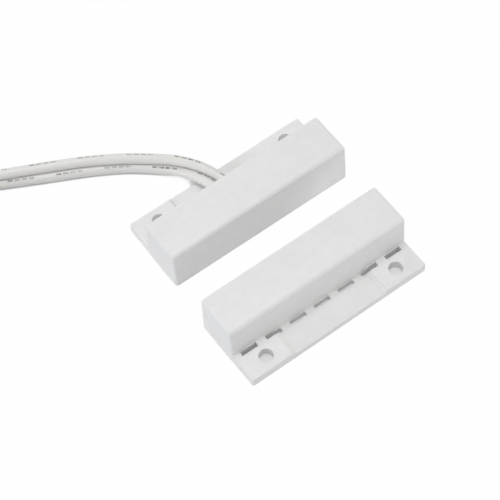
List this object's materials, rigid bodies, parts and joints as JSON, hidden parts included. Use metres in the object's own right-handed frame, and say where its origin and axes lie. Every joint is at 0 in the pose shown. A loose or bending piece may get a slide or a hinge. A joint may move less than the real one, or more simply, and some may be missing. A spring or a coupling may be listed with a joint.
{
  "type": "magnetic door contact",
  "caption": "Surface-mount magnetic door contact: a wired reed-switch half and a matching magnet half, slim drafted blocks with break-off screw flanges.",
  "frame": {"origin": "on the mounting surface, below the middle of the two housings together", "axes": "+X along both halves, +Y from the magnet half towards the switch half, +Z away from the mounting surface"},
  "size_m": [0.1151, 0.0956, 0.0128],
  "materials": {
    "white_abs": "fine satin moulding texture",
    "white_pvc": "smooth extruded PVC",
    "nylon": "natural moulded nylon",
    "reed_glass": "clear, pale green",
    "nickel_iron": "drawn wire",
    "tin": "tinned, softly bright",
    "shrink_sleeve": "shrunk polyolefin",
    "hot_melt": "waxy",
    "ferrite": "sintered and ground",
    "grey_foam": "closed-cell foam"
  },
  "bodies": {
    "switch_half": {"switch_housing": "white_abs", "switch_base_cover": "white_abs", "reed_glass": "reed_glass", "reed_lead_a": "nickel_iron", "reed_lead_b": "nickel_iron", "solder_joint_a": "tin", "solder_joint_b": "tin", "joint_sleeve_a": "shrink_sleeve", "joint_sleeve_b": "shrink_sleeve", "wire_anchor_glue": "hot_melt", "wire_a": "white_pvc", "wire_b": "white_pvc", "wire_coil_a": "white_pvc", "wire_coil_b": "white_pvc", "coil_tie": "nylon", "wire_tip_a": "tin", "wire_tip_b": "tin"},
    "magnet_half": {"magnet_housing": "white_abs", "magnet_base_cover": "white_abs", "bar_magnet": "ferrite", "magnet_foam_strip": "grey_foam"}
  },
  "joints": [
    {"name": "magnet_slide", "type": "slide", "parent": "switch_half", "child": "magnet_half", "axis": [0, -1, 0], "range_m": [-0.011, 0.03]}
  ]
}
